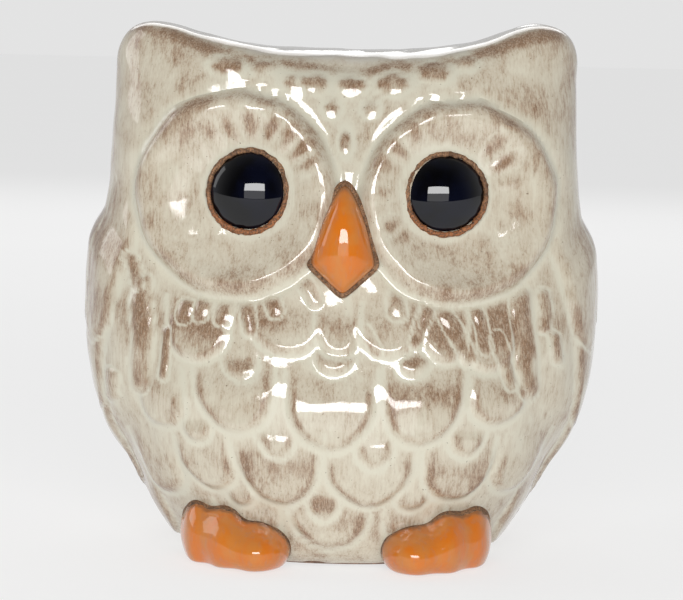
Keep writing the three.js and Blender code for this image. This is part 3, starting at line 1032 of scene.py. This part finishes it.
def cream_glaze():
    """Cream glaze that breaks to brown flecks where it is thin and pools pale in the hollows."""
    finish = Finish("cream_glaze")
    worn, pool = finish.attribute("worn"), finish.attribute("pool")
    crown, clay = finish.attribute("crown"), finish.attribute("clay")
    streaks = finish.noise((0.42, 0.42, 1.5), 3, 0.62)
    flecks = finish.noise((0.36, 0.36, 0.42), 2, 0.6, shift=7.0)
    clouds = finish.noise((7, 7, 9), 3, 0.55, shift=3.0)
    drift = finish.noise((2.2, 2.2, 5), 2, 0.5, shift=11.0)
    runs = finish.noise((0.6, 0.6, 7), 3, 0.6, 0.4, shift=17.0)

    uneven = (clouds - 0.5) * 1.15 + (drift - 0.5) * 0.7 + (runs - 0.5) * 0.9
    thin = (worn + uneven - pool * clouds * 0.6).held()
    grain = streaks * 0.62 + flecks * 0.38
    speckle = (grain + thin * 0.2).step(0.56, 0.8)
    breaks = finish.noise((0.5, 0.5, 1.9), 3, 0.6, shift=41.0).step(0.5, 0.62)
    wash = (thin * 0.9 + (streaks - 0.5) * 0.4).held()
    heavy = thin.step(0.4, 1.2)
    base = finish.mix(pool * 0.5, colour(202, 196, 178), colour(206, 204, 187))
    # The crown is painted greyer: painted shade on the top, which faces away from the window lamp
    base = finish.mix(crown * 0.8, base, colour(186, 182, 178))
    base = finish.mix(wash, base, colour(172, 152, 130))
    base = finish.mix(heavy * 0.8, base, colour(146, 114, 88))
    base = finish.mix(breaks * heavy * 0.5, base, colour(201, 191, 172))
    base = finish.mix(speckle * (thin * 0.55 + 0.06).held(), base, colour(104, 78, 58))
    dots = finish.noise((0.8, 0.8, 0.8), 1, 0.5, shift=23.0).step(0.75, 0.78)
    base = finish.mix(dots * 0.6, base, colour(92, 72, 56))
    tones, _ = clay_tones(finish)
    bare = clay.step(0.45, 0.55)
    base = finish.mix(bare, base, tones)

    swell = finish.noise((5.5, 5.5, 7), 2, 0.4, shift=31.0)
    surface = finish.bump(swell, 0.35, 0.35)
    surface = finish.bump(grain * thin, 0.2, 0.12, surface)
    rough = 0.05 + speckle * thin * 0.12 + bare * 0.7
    return finish.set(Base_Color=base, Roughness=rough, IOR=1.6, Normal=surface)


def black_glaze():
    finish = Finish("black_glaze")
    depth = finish.noise((9, 9, 9), 2, 0.5)
    base = finish.mix(depth.step(0.4, 0.65), colour(4, 4, 6), colour(7, 9, 22))
    surface = finish.bump(finish.noise((4, 4, 4), 1), 0.1, 0.15)
    return finish.set(Base_Color=base, Roughness=0.02, IOR=1.5, Normal=surface)


def orange_glaze():
    finish = Finish("orange_glaze")
    worn, clay = finish.attribute("worn"), finish.attribute("clay")
    clouds = finish.noise((5, 5, 8), 3, 0.5)
    streaks = finish.noise((1.6, 1.6, 6), 2, 0.5, shift=5.0)
    base = finish.mix(clouds.step(0.35, 0.68), colour(202, 110, 30), colour(194, 120, 54))
    base = finish.mix(streaks.step(0.52, 0.72) * 0.4, base, colour(176, 118, 84))
    base = finish.mix((worn * 0.9).held(), base, colour(128, 84, 50))
    tones, grit = clay_tones(finish)
    bare = clay.step(0.4, 0.6)
    base = finish.mix(bare, base, tones)
    surface = finish.bump(finish.noise((3, 3, 4), 2, shift=9.0), 0.3, 0.2)
    surface = finish.bump(grit * bare, 0.8, 0.3, surface)
    return finish.set(Base_Color=base, Roughness=0.04 + bare * 0.7, IOR=1.55, Normal=surface)


def bare_clay():
    finish = Finish("bare_clay")
    tones, grit = clay_tones(finish)
    surface = finish.bump(grit, 0.9, 0.35)
    return finish.set(Base_Color=tones, Roughness=0.55, Normal=surface)


def black_rubber():
    finish = Finish("black_rubber")
    grain = finish.noise((0.4, 0.4, 0.4), 3, 0.6)
    bloom = finish.noise((6, 6, 6), 3, 0.5)
    base = finish.mix(bloom.step(0.4, 0.7), colour(34, 34, 35), colour(52, 51, 50))
    return finish.set(Base_Color=base, Roughness=0.6 + grain * 0.2, Normal=finish.bump(grain, 0.5, 0.08))


# ---------------------------------------------------------------------------------- studio

CAMERA_FAR = 800
CAMERA_RISE = math.radians(5)
CAMERA_ROLL = math.radians(1.3)
CAMERA_LENS = 140.05
CAMERA_LEVEL = 77
CAMERA_AIM = 72.3
BACKDROP = 0.77  # brightness of the plain backdrop


def camera():
    made = bpy.data.cameras.new("camera")
    made.lens = CAMERA_LENS
    made.sensor_width = 36
    made.clip_start = 0.01
    holder = bpy.data.objects.new("camera", made)
    way = Vector((0, -math.cos(CAMERA_RISE), math.sin(CAMERA_RISE)))
    place = way * CAMERA_FAR + Vector((0, 0, CAMERA_LEVEL))
    aim = (Vector((0, 0, CAMERA_AIM)) - place).to_track_quat("-Z", "Y").to_matrix().to_4x4()
    holder.matrix_world = Matrix.Translation(place * MM) @ aim @ Matrix.Rotation(CAMERA_ROLL, 4, "Z")
    bpy.context.scene.collection.objects.link(holder)
    bpy.context.scene.camera = holder


def lamp(name, place, aim, size, power):
    light = bpy.data.lights.new(name, "AREA")
    light.shape = "RECTANGLE"
    light.size, light.size_y = size
    light.energy = power
    holder = bpy.data.objects.new(name, light)
    place, aim = Vector(place), Vector(aim)
    turn = (aim - place).to_track_quat("-Z", "Y").to_matrix().to_4x4()
    holder.matrix_world = Matrix.Translation(place) @ turn
    holder.visible_camera = False
    bpy.context.scene.collection.objects.link(holder)


def surroundings():
    """A pale room, dim in front of the owl and above it, bright behind it and at its sides."""
    world = bpy.data.worlds.new("room")
    room = Nodes(world)
    way = room.node("ShaderNodeTexCoord", {}, {}, "Generated")
    across = room.node("ShaderNodeSeparateXYZ", {}, {0: way}, "Y")
    up = room.node("ShaderNodeSeparateXYZ", {}, {0: way}, "Z")
    light = across.spread(-0.75, 0.5, 0.02, 0.62) * up.spread(0.3, 0.9, 1.0, 0.5)
    seen = room.node("ShaderNodeLightPath", {}, {}, "Is Camera Ray")
    shown = room.node("ShaderNodeMix", {"data_type": "FLOAT"}, {0: seen, 2: light, 3: BACKDROP})
    background = room.tree.nodes["Background"]
    room.feed(background.inputs["Color"], (1, 1, 1, 1))
    room.feed(background.inputs["Strength"], shown)
    bpy.context.scene.world = world


# The table, in metres
TABLE_EDGE = 0.63  # how far in front of the owl its edge is
TABLE_HALF = 20


def studio():
    camera()
    surroundings()
    lamp("window", (0, -1.2, 0.42), (0, 0, 0.42), (0.97, 0.32), 13)
    lamp("back_fill", (0, 1.6, 1.1), (0, 0, 0.08), (1.5, 1.1), 9)
    lamp("side_fill", (-1.6, 0.5, 0.8), (0, 0, 0.08), (1, 1), 5)
    lamp("window_foot", (0, -1.2, 0.085), (0, 0, 0.085), (0.97, 0.34), 1.7)
    shape = bmesh.new()
    back = Matrix.Translation((0, TABLE_HALF - TABLE_EDGE, 0))
    bmesh.ops.create_grid(shape, x_segments=2, y_segments=2, size=TABLE_HALF, matrix=back)
    floor = bpy.data.objects.new("floor", finish_mesh(shape, "floor"))
    finish = Finish("pale_floor")
    tone = finish.mix(finish.noise((300, 300, 300), 2), (0.26, 0.26, 0.26, 1), (0.28, 0.28, 0.28, 1))
    floor.data.materials.append(finish.set(
        Base_Color=tone, Roughness=0.9, Specular_IOR_Level=0.0,
        Emission_Color=(1, 1, 1, 1), Emission_Strength=0.68,
    ))
    bpy.context.scene.collection.objects.link(floor)
    bpy.context.scene.view_settings.view_transform = "Standard"


# ---------------------------------------------------------------------------------- the owl

cream, black, orange, clay = cream_glaze(), black_glaze(), orange_glaze(), bare_clay()
body_shell(cream)
eye(1, "left_eye_dome", "left_eye", black, clay)
eye(-1, "right_eye_dome", "right_eye", black, clay)
beak(orange, clay)
foot(1, "left_foot_glazed", "left_foot", orange)
foot(-1, "right_foot_glazed", "right_foot", orange)
stopper(black_rubber())
studio()
